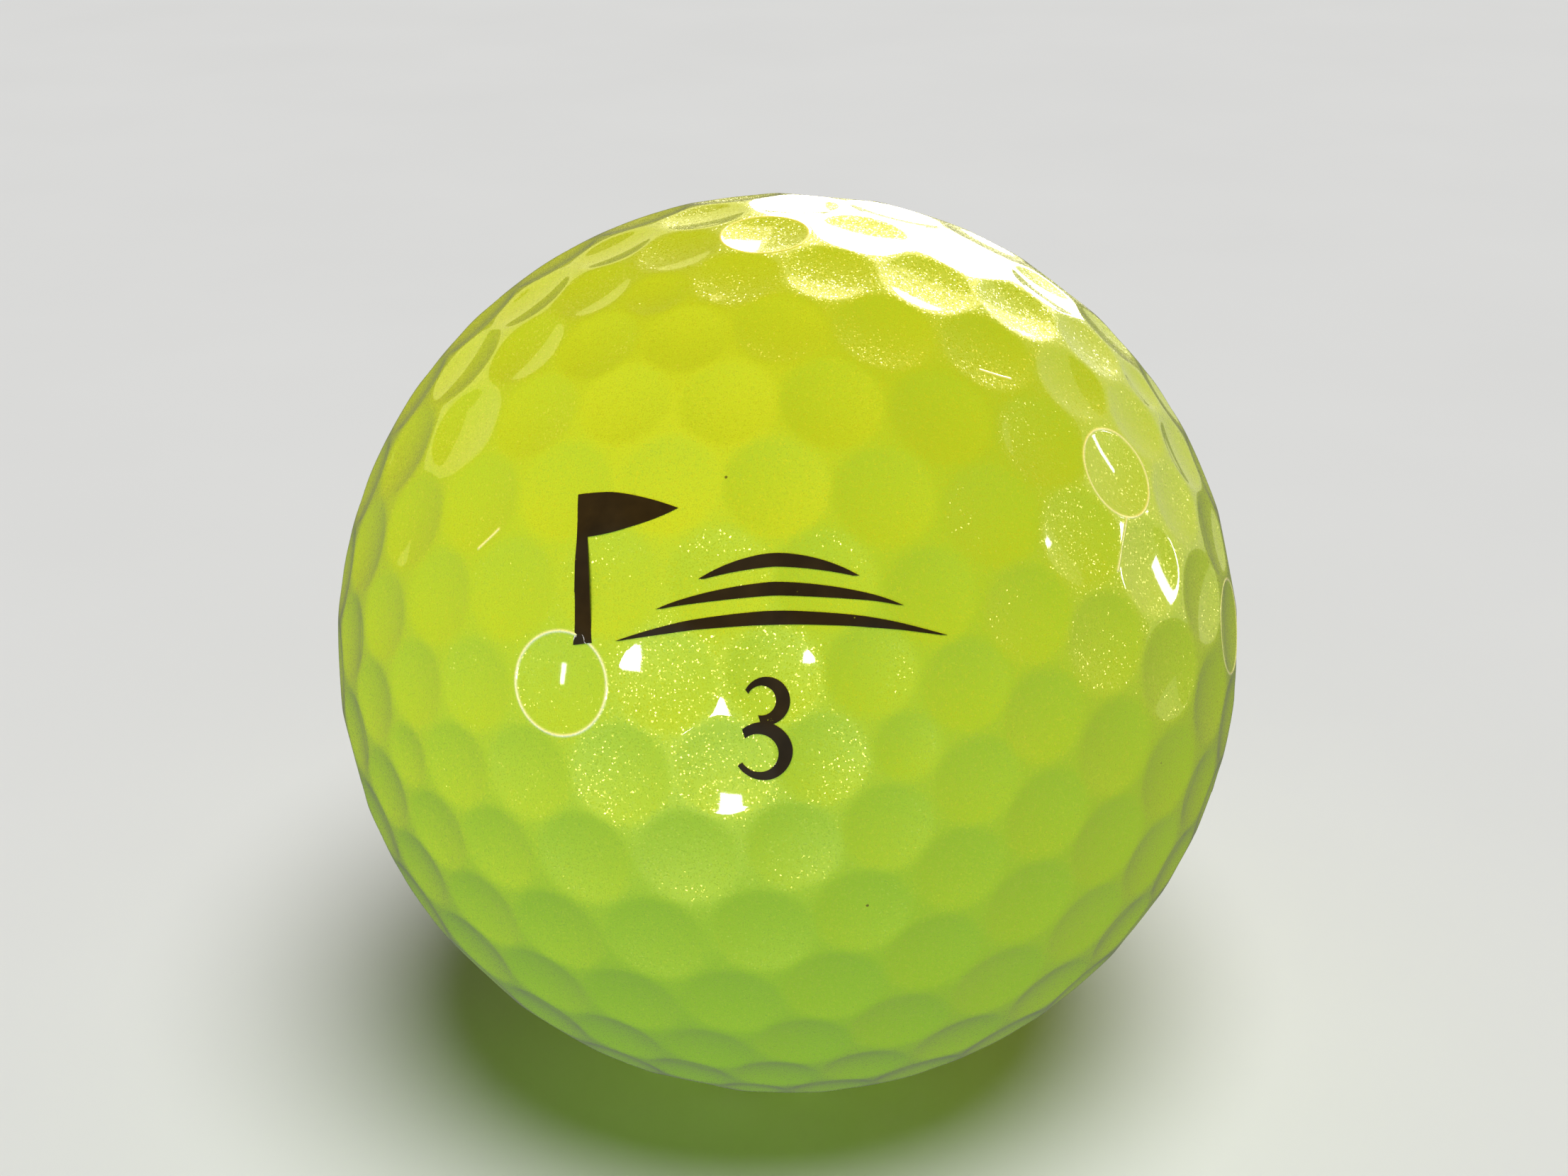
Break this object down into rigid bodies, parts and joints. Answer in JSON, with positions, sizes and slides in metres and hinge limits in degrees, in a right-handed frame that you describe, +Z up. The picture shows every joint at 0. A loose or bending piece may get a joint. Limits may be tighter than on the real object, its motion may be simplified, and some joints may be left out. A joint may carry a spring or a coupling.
{
  "type": "golf ball",
  "caption": "Dimpled golf ball for play or display, with a layered core, a glossy pearl yellow-green cover, a printed flag emblem and a play number.",
  "frame": {"origin": "centre of the ball", "axes": "+Z up with the ball as it lies, its lowest point at -Z; the printed emblem faces -Y and a little upwards; +X to the right as the emblem is read"},
  "size_m": [0.0426, 0.0426, 0.0426],
  "materials": {
    "inner_core": "solid moulded rubber, slightly speckled",
    "outer_core": "moulded rubber, matt, faint flow marks",
    "mantle": "moulded ionomer, satin, milky",
    "cover": "fluorescent yellow-green ionomer with fine golden pearl flakes under a thick clear coat",
    "ink": "dark brown-black pad print under the clear coat, slightly worn"
  },
  "bodies": {
    "root": {"inner_core": "inner_core", "outer_core_half_front": "outer_core", "outer_core_half_back": "outer_core", "mantle_half_front": "mantle", "mantle_half_back": "mantle", "cover_half_front": "cover", "cover_half_back": "cover", "emblem_print_front": "ink", "emblem_print_back": "ink", "number_print_front": "ink", "number_print_back": "ink", "alignment_print_left": "ink", "alignment_print_right": "ink"}
  },
  "joints": []
}
